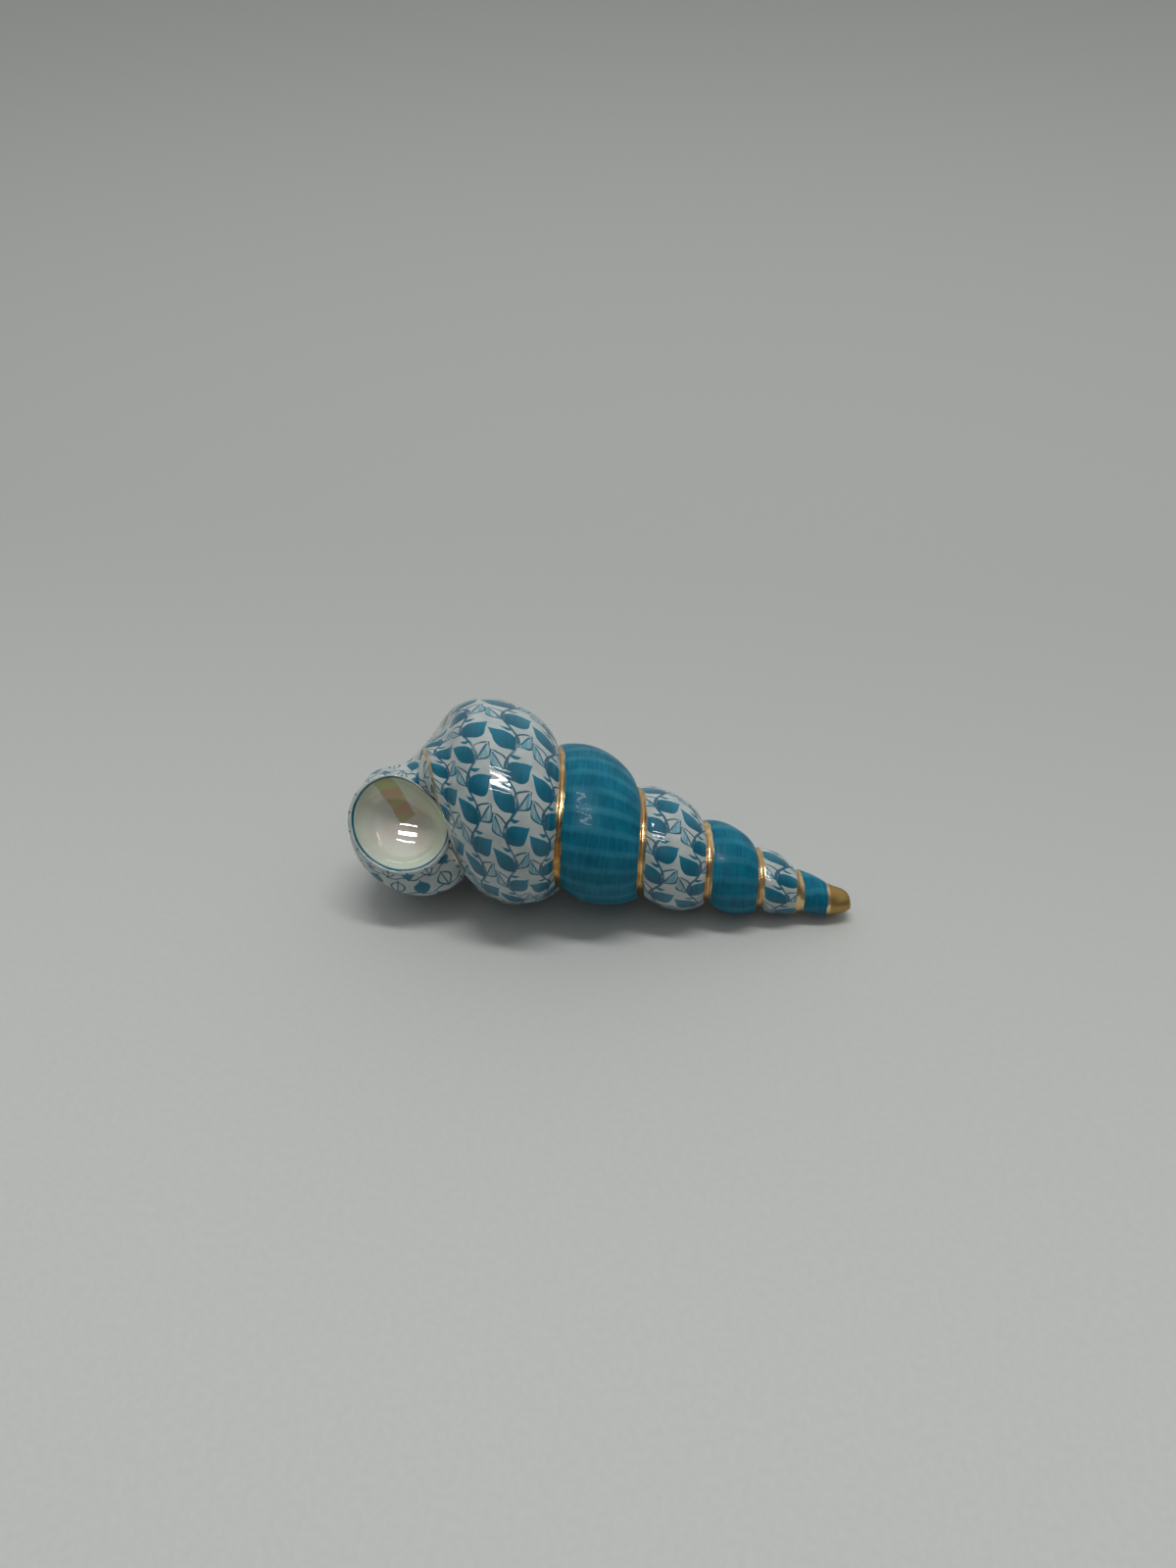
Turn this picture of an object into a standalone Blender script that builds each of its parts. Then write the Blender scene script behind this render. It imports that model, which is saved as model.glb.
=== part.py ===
"""A porcelain figurine of a wentletrap shell, lying on its side.

One fired piece: seven swelling turns of a right-handed spiral run from the tip
(+X) to a round mouth at the other end (-X), which opens to the front and up.
The last half turn leaves the spiral as a short tube with a rounded lip, and the
mouth inside the lip is a shallow bowl. A small flat foot is ground underneath.

How the surface is laid out: a ribbon of rows winds round a leaning axis. A row
is one cut through the turn, from the seam on its tip side to the seam on its
mouth side, and the mouth-side seam of one turn is the tip-side seam of the next.
Turns are counted from the tip, and whole numbers face the front (-Y).
"""
import math

import bmesh
import bpy
from mathutils import Vector

MM = 0.001

# --- Spiral: the seam between two turns, which grows by a steady rule ---
TIP_ALONG = 48.9            # mm along the axis, the very tip
FIRST_LENGTH = 3.9          # mm along the axis, the seam's first turn
LENGTH_GAIN = 1.7           # mm, how much longer the next turn is
LENGTH_SPEEDING = 0.12      # mm, how fast that gain itself grows
FIRST_RADIUS = 2.90         # mm from the axis, where the seam's first turn ends
RADIUS_GAIN = 0.45          # mm a turn from there
RADIUS_SPEEDING = 0.265     # mm, how fast that gain grows, so the sides hollow a little
FIRST_SEAM_TURN = 1.0       # the seam leaves the tip one turn after the tip
MOUTH_TURN = 7.875          # turn count at the mouth
QUARTER = 0.25              # of a turn, from the cut through the axis to where the mouth faces
TIP_SPREAD = 0.5            # powers of the first turn, which make the tip blunt
TIP_DROP = 1.2
TIP_LIFT = 0.6              # mm, the axis bends up this much at the tip
LIFT_FROM = 37.0            # mm along the axis, where that begins

# --- Swell of a turn between its two seams ---
TIP_RISE_ANGLE = 88.0       # degrees, how steeply a row leaves the very tip
NOSE_ANGLE = 17.0           # degrees, slope of the smooth nose one turn later
NOSE_ENDS = 2.5             # turn where the nose begins to part into turns
NOSE_BLEND = 1.75           # turns until they swell fully
RISE_ANGLE = 64.0           # degrees, how steeply a row leaves its tip-side seam
FALL_ANGLE = 40.0           # degrees, how steeply it meets its mouth-side seam
SWELL = 0.315               # length of the Bezier handles, in parts of the row

# --- Last turn, at every eighth of a turn from where the mouth tube sets off ---
WALL_ALONG = [-22.3, -26.0, -28.9, -31.6, -34.2, -37.2, -40.4, -43.6, -46.1]   # mm
WALL_RADIUS = [14.6, 12.6, 12.4, 12.2, 12.1, 11.4, 10.7, 10.1, 9.7]            # mm
NECK_ALONG = [-22.3, -27.4, -32.6, -36.0, -36.7]  # mm, seam round the mouth tube
NECK_RADIUS = [14.6, 11.2, 9.8, 5.5, 0.0]         # mm
PLACES = 8                  # eighths in that turn
TUBE_SWELLS = 3             # the eighth where the turn begins to swell into the tube
TUBE_STARTS = 4             # the eighth where the end wall begins to bend into the tube
BODY_RISE_ANGLE = 71.0      # degrees
BODY_FALL_ANGLE = 48.0      # degrees
BODY_WALL_ANGLE = 90.0      # degrees, the end wall runs straight in to the axis
BARREL_ENDS = 1             # the eighth up to where the last turn keeps its barrel shape
BODY_SWELL = 0.39
MOUTH_SWELL = 0.50
BARREL_HANDLES = (0.35, -0.20, 0.25)  # Bezier handles of the end wall, in parts of its
WALL_HANDLES = (0.35, 0.15, 0.35)     # depth: from the rim, then past and outside of
TUBE_HANDLES = (0.55, 0.60, 0.25)     # the seam
POLE_SHIFT = 3.5            # mm, the end of the seam stands this far off the axis
POLE_TURN = 0.375           # towards this part of a turn from the front
POLE_REACH = 16.0           # mm from the axis, where the shift has faded out

# --- Mouth ---
MOUTH_ALONG = -35.9         # mm along the axis, centre of the mouth
MOUTH_RADIUS_OUT = 7.8      # mm from the axis, centre of the mouth
MOUTH_FORWARD = 4.6         # mm from the cut through the axis to the lip
MOUTH_OPENING = 9.3         # mm, radius inside the lip
LIP_THICKNESS = 1.1         # mm
BODY_SIDE = -65.0           # degrees round the mouth, where it lies against the body
BODY_SIDE_WIDTH = 64.0      # degrees to each side
PRESSED_FLAT = 0.35         # the opening is this much smaller there
PRESSED_THIN = 0.65         # and the lip this much thinner
BOWL_DEPTH = 6.0            # mm

# --- How it lies ---
LEAN = 13.95                # degrees, the axis comes down towards the tip
AXIS_HEIGHT = 13.75         # mm, height of the axis at its zero point
FLOOR = 0.0                 # mm, the foot is ground flat at this height
FLOOR_CATCH = 1e-7          # m, points this near the floor count as on it
MIDDLE_SHIFT = (-0.55, -1.13)  # mm in X and Y, which puts the origin below the middle

# --- Fineness of the surface ---
STEPS = 32                  # rows in one turn
ACROSS = 14                 # faces across a row
CURVE_STEPS = 24            # points on a curve before it is spaced out evenly
NECK_LOOPS = 3
TIP_MERGE = 0.40             # mm, points closer than this at the very tip become one
TIP_MERGE_DEPTH = 0.6       # mm from the tip
LIP_LOOPS = 4
BOWL_LOOPS = 4
SHARP_ANGLE = 40.0          # degrees, sharper edges than this are shaded as edges

GLAZE_COLOUR = (0.45, 0.58, 0.61, 1.0)
GLAZE_ROUGHNESS = 0.08


def smooth_step(value):
    """Zero to one with soft ends."""
    value = min(max(value, 0.0), 1.0)
    return value * value * (3.0 - 2.0 * value)


def along_list(values, place):
    """A smooth curve (Catmull-Rom) through evenly spaced values."""
    last = len(values) - 1
    index = min(max(int(math.floor(place)), 0), last - 1)
    t = min(max(place - index, 0.0), 1.0)
    before = values[index - 1] if index > 0 else 2 * values[0] - values[1]
    after = values[index + 2] if index + 2 <= last else 2 * values[last] - values[last - 1]
    start, end = values[index], values[index + 1]
    return 0.5 * (2 * start + (end - before) * t
                  + (2 * before - 5 * start + 4 * end - after) * t * t
                  + (3 * start - before - 3 * end + after) * t ** 3)


def seam(turn):
    """(along, radius) of the seam that a turn starts from."""
    place = max(turn - FIRST_SEAM_TURN, 0.0)
    if place < 1.0:
        return TIP_ALONG - FIRST_LENGTH * place ** TIP_DROP, FIRST_RADIUS * place ** TIP_SPREAD
    length = FIRST_LENGTH * place + LENGTH_GAIN * place * (place - 1) / 2
    length += LENGTH_SPEEDING * place * (place - 1) * (2 * place - 1) / 6
    grown = place - 1
    return TIP_ALONG - length, FIRST_RADIUS + RADIUS_GAIN * grown + RADIUS_SPEEDING * grown ** 2


def swell_angles(turn):
    """Degrees at the seam of this turn: (a row leaves it, the row before it arrives)."""
    nose = TIP_RISE_ANGLE + (NOSE_ANGLE - TIP_RISE_ANGLE) * smooth_step(turn - FIRST_SEAM_TURN)
    parted = smooth_step((turn - NOSE_ENDS) / NOSE_BLEND)
    return nose + (RISE_ANGLE - nose) * parted, -nose + (FALL_ANGLE + nose) * parted


def bezier(start, first, second, end):
    """Points of a cubic Bezier curve between start and end, with two handles."""
    points = []
    for step in range(CURVE_STEPS + 1):
        t = step / CURVE_STEPS
        weights = ((1 - t) ** 3, 3 * t * (1 - t) ** 2, 3 * t * t * (1 - t), t ** 3)
        points.append(tuple(sum(w * p[k] for w, p in zip(weights, (start, first, second, end)))
                            for k in range(2)))
    return points


def swelling(start, start_angle, end, end_angle, swell):
    """A curve that swells outward; the angles are taken from the axis line."""
    reach = swell * math.dist(start, end)
    rise, fall = math.radians(start_angle), math.radians(end_angle)
    first = (start[0] - reach * math.cos(rise), start[1] + reach * math.sin(rise))
    second = (end[0] + reach * math.cos(fall), end[1] + reach * math.sin(fall))
    return bezier(start, first, second, end)


def evenly(points, count):
    """The same curve with count equal steps."""
    lengths = [0.0]
    for a, b in zip(points, points[1:]):
        lengths.append(lengths[-1] + math.dist(a, b))
    result = []
    index = 0
    for step in range(count + 1):
        target = lengths[-1] * step / count
        while index < len(points) - 2 and lengths[index + 1] < target:
            index += 1
        span = lengths[index + 1] - lengths[index]
        t = (target - lengths[index]) / span if span > 0 else 0.0
        a, b = points[index], points[index + 1]
        result.append(tuple(a[k] + (b[k] - a[k]) * min(t, 1.0) for k in range(2)))
    return result


def row(turn):
    """One cut through a turn, as (along, radius) points from seam to seam."""
    start = seam(turn)
    split = MOUTH_TURN - 1.0
    body = smooth_step(turn - (split - 1.0))
    rise = swell_angles(turn)[0] + (BODY_RISE_ANGLE - RISE_ANGLE) * body
    fall = swell_angles(turn + 1.0)[1] + (BODY_FALL_ANGLE - FALL_ANGLE) * body
    swell = SWELL + (BODY_SWELL - SWELL) * body
    if turn <= split:
        return evenly(swelling(start, rise, seam(turn + 1.0), fall, swell), ACROSS)
    place = (turn - split) * PLACES
    wall = (along_list(WALL_ALONG, place), along_list(WALL_RADIUS, place))
    neck = (along_list(NECK_ALONG, place), max(along_list(NECK_RADIUS, place), 0.0))
    bend = smooth_step((place - BARREL_ENDS) / (TUBE_STARTS - BARREL_ENDS))
    fall += (BODY_WALL_ANGLE - fall) * bend
    swell += (MOUTH_SWELL - swell) * smooth_step((place - TUBE_SWELLS) / (PLACES - TUBE_SWELLS))
    outside = swelling(start, rise, wall, fall, swell)
    inside = end_wall(wall, neck, place, fall)
    return evenly(outside + inside[1:], ACROSS)


def end_wall(wall, neck, place, fall):
    """From the rim of the last turn in to the seam round the mouth tube."""
    bend = smooth_step((place - BARREL_ENDS) / (TUBE_STARTS - BARREL_ENDS))
    tube = smooth_step((place - TUBE_STARTS) / (PLACES - TUBE_STARTS))
    depth = math.dist(wall, neck)
    handles = [a + (b - a) * bend for a, b in zip(BARREL_HANDLES, WALL_HANDLES)]
    inward, past, outside = (a + (b - a) * tube for a, b in zip(handles, TUBE_HANDLES))
    leave = (wall[0] - inward * depth * math.cos(math.radians(fall)),
             wall[1] - inward * depth * math.sin(math.radians(fall)))
    arrive = (neck[0] - past * depth, neck[1] + outside * depth)
    return bezier(wall, leave, arrive, neck)


def outward(turn):
    """Direction away from the axis at this part of a turn, before the shell leans."""
    angle = 2 * math.pi * turn
    return Vector((0.0, -math.cos(angle), math.sin(angle)))


def place_point(along, radius, turn, shift_pole):
    """A row's point in the frame of the upright axis, in mm."""
    point = Vector((along, 0.0, 0.0)) + outward(turn) * radius
    point.z += TIP_LIFT * smooth_step((along - LIFT_FROM) / (TIP_ALONG - LIFT_FROM))
    if shift_pole:
        fade = max(1.0 - radius / POLE_REACH, 0.0)
        point += outward(POLE_TURN) * POLE_SHIFT * fade * fade
    return point


def stand(point):
    """Lean the axis down to the tip, lift it to its height, and turn mm into metres."""
    lean = math.radians(LEAN)
    x = point.x * math.cos(lean) + point.z * math.sin(lean) + MIDDLE_SHIFT[0]
    y = point.y + MIDDLE_SHIFT[1]
    z = point.z * math.cos(lean) - point.x * math.sin(lean) + AXIS_HEIGHT
    return Vector((x, y, z)) * MM


def ribbon(mesh):
    """The winding surface. Returns the closed edge that the mouth tube grows from."""
    last = round(MOUTH_TURN * STEPS)
    split = last - STEPS
    pole_row = split + STEPS // 2
    rows = {}
    for index in range(last, -1, -1):
        turn = index / STEPS
        line = row(turn)
        verts = [None] * (ACROSS + 1)
        if index <= split:
            verts[ACROSS] = rows[index + STEPS][0]
        elif pole_row <= index < last:
            verts[ACROSS] = rows[last][ACROSS]
        if 0 < index <= STEPS:
            verts[0] = rows[index + 1][0] if index < STEPS else None
        if index == 0:
            verts = [rows[1][0]] * (ACROSS + 1)
        for k, (along, radius) in enumerate(line):
            if verts[k] is None:
                verts[k] = mesh.verts.new(place_point(along, radius, turn, index > split))
        rows[index] = verts
    for index in range(last):
        for k in range(ACROSS):
            corners = [rows[index][k], rows[index + 1][k], rows[index + 1][k + 1], rows[index][k + 1]]
            corners = [v for n, v in enumerate(corners) if v is not corners[n - 1]]
            if len(set(corners)) >= 3:
                mesh.faces.new(corners)
    neck = [rows[index][ACROSS] for index in range(split, pole_row)]
    return neck + rows[last][::-1][:-1]


def mouth(mesh, edge):
    """Tube end, rounded lip and bowl, as loops that grow inward from the edge."""
    facing = outward(MOUTH_TURN + QUARTER)
    down = outward(MOUTH_TURN)
    side = Vector((1.0, 0.0, 0.0))
    centre = side * MOUTH_ALONG + down * MOUTH_RADIUS_OUT
    angles = []
    for vert in edge:
        arm = vert.co - centre
        angles.append(math.atan2(arm.dot(down), arm.dot(side)))

    def ring_point(angle, inset, lip, height):
        """inset 1 is the middle of the bowl; lip 0 is its edge and lip 1 the outside."""
        away = (math.degrees(angle) - BODY_SIDE + 180) % 360 - 180
        near = math.exp(-(away / BODY_SIDE_WIDTH) ** 2)
        radius = MOUTH_OPENING * (1 - PRESSED_FLAT * near) * (1 - inset)
        radius += LIP_THICKNESS * (1 - PRESSED_THIN * near) * lip
        return centre + (side * math.cos(angle) + down * math.sin(angle)) * radius + facing * height

    loop = edge
    starts = [vert.co.copy() for vert in edge]
    for step in range(1, NECK_LOOPS + 1):
        t = step / NECK_LOOPS
        points = []
        for start, angle in zip(starts, angles):
            target = ring_point(angle, 0, 1, MOUTH_FORWARD)
            rise = facing * (target - start).dot(facing)
            points.append(start + (target - start - rise) * smooth_step(t) + rise * t)
        loop = bridge(mesh, loop, points)
    for step in range(1, LIP_LOOPS + 1):
        turn = math.pi * step / LIP_LOOPS
        lip = 0.5 * (1 + math.cos(turn))
        height = MOUTH_FORWARD + LIP_THICKNESS * 0.5 * math.sin(turn)
        loop = bridge(mesh, loop, [ring_point(a, 0, lip, height) for a in angles])
    for step in range(1, BOWL_LOOPS):
        turn = 0.5 * math.pi * step / BOWL_LOOPS
        height = MOUTH_FORWARD - BOWL_DEPTH * math.sin(turn)
        loop = bridge(mesh, loop, [ring_point(a, 1 - math.cos(turn), 0, height) for a in angles])
    bottom = mesh.verts.new(centre + facing * (MOUTH_FORWARD - BOWL_DEPTH))
    for a, b in zip(loop, loop[1:] + loop[:1]):
        mesh.faces.new((a, b, bottom))


def bridge(mesh, loop, points):
    """A new loop of points, joined to the last loop by a band of faces."""
    new = [mesh.verts.new(point) for point in points]
    for k in range(len(loop)):
        n = (k + 1) % len(loop)
        mesh.faces.new((loop[k], loop[n], new[n], new[k]))
    return new


def grind_foot(mesh):
    """Cut the underside flat where the shell stands."""
    geometry = mesh.verts[:] + mesh.edges[:] + mesh.faces[:]
    cut = bmesh.ops.bisect_plane(mesh, geom=geometry, dist=FLOOR_CATCH, plane_co=(0, 0, FLOOR * MM),
                                 plane_no=(0, 0, -1), clear_outer=True)
    rim = [item for item in cut["geom_cut"] if isinstance(item, bmesh.types.BMEdge)]
    bmesh.ops.holes_fill(mesh, edges=rim, sides=0)


def glaze():
    """Smooth, glossy porcelain glaze."""
    material = bpy.data.materials.new("glazed porcelain")
    material.use_nodes = True
    shader = material.node_tree.nodes["Principled BSDF"]
    shader.inputs["Base Color"].default_value = GLAZE_COLOUR
    shader.inputs["Roughness"].default_value = GLAZE_ROUGHNESS
    shader.inputs["Metallic"].default_value = 0.0
    return material


def main():
    """Clear the scene and make the shell."""
    for item in list(bpy.data.objects):
        bpy.data.objects.remove(item, do_unlink=True)
    mesh = bmesh.new()
    edge = ribbon(mesh)
    mouth(mesh, edge)
    tip = [vert for vert in mesh.verts if vert.co.x > TIP_ALONG - TIP_MERGE_DEPTH]
    bmesh.ops.remove_doubles(mesh, verts=tip, dist=TIP_MERGE)
    for vert in mesh.verts:
        vert.co = stand(vert.co)
    bmesh.ops.recalc_face_normals(mesh, faces=mesh.faces)
    grind_foot(mesh)
    data = bpy.data.meshes.new("shell")
    mesh.to_mesh(data)
    mesh.free()
    data.shade_smooth()
    data.set_sharp_from_angle(angle=math.radians(SHARP_ANGLE))
    shell = bpy.data.objects.new("shell", data)
    bpy.context.scene.collection.objects.link(shell)
    data.materials.append(glaze())


main()
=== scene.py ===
# %% [markdown]
# A porcelain figurine of a wentletrap shell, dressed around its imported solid.
# The real thing is one piece of glazed porcelain: seven swelling turns that
# wind from a gold tip to a round, pearly mouth. This lesson makes its surface
# finely, then paints it: turquoise washes, a vine on the white turns, gold
# seams and a mother-of-pearl lustre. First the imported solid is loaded.

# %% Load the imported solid
import math

import bpy
import numpy as np
from mathutils import Matrix, Vector, noise


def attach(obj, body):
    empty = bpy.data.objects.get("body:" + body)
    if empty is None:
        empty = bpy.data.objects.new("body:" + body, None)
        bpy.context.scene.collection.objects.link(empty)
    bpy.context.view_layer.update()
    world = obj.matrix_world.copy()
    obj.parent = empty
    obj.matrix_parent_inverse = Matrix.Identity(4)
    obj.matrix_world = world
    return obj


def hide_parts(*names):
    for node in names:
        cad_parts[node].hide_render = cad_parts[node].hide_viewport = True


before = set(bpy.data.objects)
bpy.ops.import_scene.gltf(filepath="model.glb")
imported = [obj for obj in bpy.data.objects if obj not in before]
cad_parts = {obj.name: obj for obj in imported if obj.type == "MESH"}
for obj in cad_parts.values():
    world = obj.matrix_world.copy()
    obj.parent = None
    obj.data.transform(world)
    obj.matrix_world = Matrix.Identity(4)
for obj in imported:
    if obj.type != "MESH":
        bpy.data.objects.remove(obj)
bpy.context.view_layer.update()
MM = 0.001

# %% [markdown]
# The camera stands in front of the shell and well above it, and looks down at
# about 42 degrees. A camera could be aimed with a Track To constraint. Here
# its three directions are worked out instead, because the aim point is not in
# the middle of the picture and the camera is tilted by one degree.

# %% Camera
FRAME_WIDTH, FRAME_HEIGHT = 1200, 1600   # pixels of the whole picture
AIM_ACROSS, AIM_DOWN = 614.67, 850.14    # pixel where the aim point appears
LENS_PIXELS = 1202                       # focal length in those pixels
CAMERA_TURN = math.radians(11.163)       # round the shell, from straight in front
CAMERA_RISE = math.radians(41.872)       # above the horizon
CAMERA_ROLL = math.radians(-1.032)
CAMERA_DEPTH = 222.0 * MM                # from the aim point, along the view
AIM_POINT = Vector((-0.55, -1.13, 13.9)) * MM
SENSOR_HEIGHT = 24.0

back = Vector((math.sin(CAMERA_TURN) * math.cos(CAMERA_RISE),
               -math.cos(CAMERA_TURN) * math.cos(CAMERA_RISE),
               math.sin(CAMERA_RISE)))
level = Vector((math.cos(CAMERA_TURN), math.sin(CAMERA_TURN), 0.0))
right = Matrix.Rotation(CAMERA_ROLL, 3, back) @ level
up = back.cross(right)
ray = (right * (AIM_ACROSS - FRAME_WIDTH / 2) / LENS_PIXELS
       - up * (AIM_DOWN - FRAME_HEIGHT / 2) / LENS_PIXELS - back)
lens = bpy.data.cameras.new("camera")
lens.sensor_fit = "VERTICAL"
lens.sensor_height = SENSOR_HEIGHT
lens.lens = SENSOR_HEIGHT * LENS_PIXELS / FRAME_HEIGHT
lens.clip_start = 10 * MM
camera = bpy.data.objects.new("camera", lens)
bpy.context.scene.collection.objects.link(camera)
camera.matrix_world = (Matrix.Translation(AIM_POINT - ray * CAMERA_DEPTH)
                       @ Matrix((right, up, back)).transposed().to_4x4())
bpy.context.scene.camera = camera
bpy.context.scene.view_settings.view_transform = "Standard"
print("camera at", [round(v / MM, 1) for v in camera.location])

# %% [markdown]
# The shell's surface is a ribbon that winds round a leaning axis, and each turn
# shares a seam with the next. A shell grows by a rule, every turn a little
# longer and wider than the one before, so the seam is a rule here as well and
# not a drawn curve. The sizes are the solid's, so the fine surface lies on it.

# %% The seam between the turns
TIP_ALONG = 48.9            # mm along the axis, the very tip
FIRST_LENGTH = 3.9          # mm, the seam's first turn
LENGTH_GAIN = 1.7           # mm, how much longer the next turn is
LENGTH_SPEEDING = 0.12      # mm, how fast that gain grows
FIRST_RADIUS = 2.90         # mm from the axis, where the seam's first turn ends
RADIUS_GAIN = 0.45          # mm a turn from there
RADIUS_SPEEDING = 0.265
FIRST_SEAM_TURN = 1.0
TIP_SPREAD, TIP_DROP = 0.5, 1.2      # powers that round the tip before the first turn ends


def seam(turn):
    """(along, radius) of the seam that a turn starts from."""
    place = max(turn - FIRST_SEAM_TURN, 0.0)
    if place < 1.0:
        return TIP_ALONG - FIRST_LENGTH * place ** TIP_DROP, FIRST_RADIUS * place ** TIP_SPREAD
    length = FIRST_LENGTH * place + LENGTH_GAIN * place * (place - 1) / 2
    length += LENGTH_SPEEDING * place * (place - 1) * (2 * place - 1) / 6
    grown = place - 1
    return TIP_ALONG - length, FIRST_RADIUS + RADIUS_GAIN * grown + RADIUS_SPEEDING * grown ** 2


print("seam at each front", [tuple(round(v, 1) for v in seam(turn)) for turn in range(1, 8)])

# %% [markdown]
# Between its two seams a turn swells outward. An arc would do for an even
# swelling, but this one leaves its seam steeply and arrives flatly. A Bezier
# curve lets each end have its own angle, and one number says how far it swells.

# %% One swelling row
CURVE_STEPS = 40
TIP_RISE_ANGLE, NOSE_ANGLE = 88.0, 17.0      # degrees, at the tip and along the slim nose
NOSE_ENDS, NOSE_BLEND = 2.5, 1.75            # turns
RISE_ANGLE, FALL_ANGLE = 64.0, 40.0          # degrees, on the turns after the nose


def smooth_step(value):
    """Zero to one with soft ends."""
    value = min(max(value, 0.0), 1.0)
    return value * value * (3.0 - 2.0 * value)


def bezier(start, first, second, end):
    """Points of a cubic Bezier curve."""
    t = np.linspace(0.0, 1.0, CURVE_STEPS + 1)[:, None]
    start, first, second, end = (np.array(p) for p in (start, first, second, end))
    return ((1 - t) ** 3 * start + 3 * t * (1 - t) ** 2 * first
            + 3 * t * t * (1 - t) * second + t ** 3 * end)


def swelling(start, start_angle, end, end_angle, swell):
    """A curve that swells outward; the angles are taken from the axis line."""
    reach = swell * math.dist(start, end)
    rise, fall = math.radians(start_angle), math.radians(end_angle)
    first = (start[0] - reach * math.cos(rise), start[1] + reach * math.sin(rise))
    second = (end[0] + reach * math.cos(fall), end[1] + reach * math.sin(fall))
    return bezier(start, first, second, end)


def swell_angles(turn):
    """Degrees at the seam of this turn: (a row leaves it, the row before it arrives)."""
    nose = TIP_RISE_ANGLE + (NOSE_ANGLE - TIP_RISE_ANGLE) * smooth_step(turn - FIRST_SEAM_TURN)
    parted = smooth_step((turn - NOSE_ENDS) / NOSE_BLEND)
    return nose + (RISE_ANGLE - nose) * parted, -nose + (FALL_ANGLE + nose) * parted


print("angles at each front", [tuple(round(v) for v in swell_angles(turn)) for turn in range(1, 8)])

# %% [markdown]
# The last turn leaves the axis. Its rows run over the rim of a wall and down
# the wall to the seam round the mouth tube. This end doesn't follow the growth
# rule, so the rim and the seam are short lists, one value for each eighth of a
# turn, with a smooth curve through them.

# %% The wall at the end of the last turn
MOUTH_TURN = 7.875          # turn count at the mouth
WALL_ALONG = [-22.3, -26.0, -28.9, -31.6, -34.2, -37.2, -40.4, -43.6, -46.1]     # mm, the rim
WALL_RADIUS = [14.6, 12.6, 12.4, 12.2, 12.1, 11.4, 10.7, 10.1, 9.7]
NECK_ALONG = [-22.3, -27.4, -32.6, -36.0, -36.7]                                 # mm, the seam
NECK_RADIUS = [14.6, 11.2, 9.8, 5.5, 0.0]
PLACES = 8                                   # places in the last turn
BARREL_ENDS, TUBE_SWELLS, TUBE_STARTS = 1, 3, 4      # places where the form changes
BARREL_HANDLES = (0.35, -0.20, 0.25)         # how far the curve is pulled in, past and out
WALL_HANDLES, TUBE_HANDLES = (0.35, 0.15, 0.35), (0.55, 0.60, 0.25)


def along_list(values, place):
    """A smooth curve through evenly spaced values."""
    last = len(values) - 1
    index = min(max(int(math.floor(place)), 0), last - 1)
    t = min(max(place - index, 0.0), 1.0)
    before = values[index - 1] if index > 0 else 2 * values[0] - values[1]
    after = values[index + 2] if index + 2 <= last else 2 * values[last] - values[last - 1]
    start, end = values[index], values[index + 1]
    return 0.5 * (2 * start + (end - before) * t
                  + (2 * before - 5 * start + 4 * end - after) * t * t
                  + (3 * start - before - 3 * end + after) * t ** 3)


def end_wall(wall, neck, place, fall):
    """From the rim of the last turn in to the seam round the mouth tube."""
    bend = smooth_step((place - BARREL_ENDS) / (TUBE_STARTS - BARREL_ENDS))
    tube = smooth_step((place - TUBE_STARTS) / (PLACES - TUBE_STARTS))
    depth = math.dist(wall, neck)
    handles = [a + (b - a) * bend for a, b in zip(BARREL_HANDLES, WALL_HANDLES)]
    inward, past, outside = (a + (b - a) * tube for a, b in zip(handles, TUBE_HANDLES))
    leave = (wall[0] - inward * depth * math.cos(math.radians(fall)),
             wall[1] - inward * depth * math.sin(math.radians(fall)))
    arrive = (neck[0] - past * depth, neck[1] + outside * depth)
    return bezier(wall, leave, arrive, neck)


print("rim of the wall", [round(along_list(WALL_RADIUS, place), 1) for place in range(PLACES + 1)])

# %% [markdown]
# One function now gives any row of the ribbon. Its points are spaced evenly
# along the curve, because the paint is laid out in real millimetres later.

# %% Rows across the ribbon
SWELL, BODY_SWELL, MOUTH_SWELL = 0.315, 0.39, 0.50   # of the distance between the seams
BODY_RISE_ANGLE, BODY_FALL_ANGLE, BODY_WALL_ANGLE = 71.0, 48.0, 90.0


def row(turn, count):
    """One cut through a turn: evenly spaced (along, radius) points and its length."""
    start = seam(turn)
    split = MOUTH_TURN - 1.0
    body = smooth_step(turn - (split - 1.0))
    rise = swell_angles(turn)[0] + (BODY_RISE_ANGLE - RISE_ANGLE) * body
    fall = swell_angles(turn + 1.0)[1] + (BODY_FALL_ANGLE - FALL_ANGLE) * body
    swell = SWELL + (BODY_SWELL - SWELL) * body
    if turn <= split:
        points = swelling(start, rise, seam(turn + 1.0), fall, swell)
    else:
        place = (turn - split) * PLACES
        wall = (along_list(WALL_ALONG, place), along_list(WALL_RADIUS, place))
        neck = (along_list(NECK_ALONG, place), max(along_list(NECK_RADIUS, place), 0.0))
        bend = smooth_step((place - BARREL_ENDS) / (TUBE_STARTS - BARREL_ENDS))
        fall += (BODY_WALL_ANGLE - fall) * bend
        swell += (MOUTH_SWELL - swell) * smooth_step((place - TUBE_SWELLS) / (PLACES - TUBE_SWELLS))
        points = np.vstack((swelling(start, rise, wall, fall, swell),
                            end_wall(wall, neck, place, fall)[1:]))
    steps = np.linalg.norm(np.diff(points, axis=0), axis=1)
    lengths = np.concatenate(([0.0], np.cumsum(steps)))
    even = np.linspace(0.0, lengths[-1], count + 1)
    return np.stack([np.interp(even, lengths, points[:, k]) for k in range(2)], 1), lengths[-1]


print("length of a row at each front", [round(row(turn, 10)[1], 1) for turn in range(1, 8)])

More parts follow.
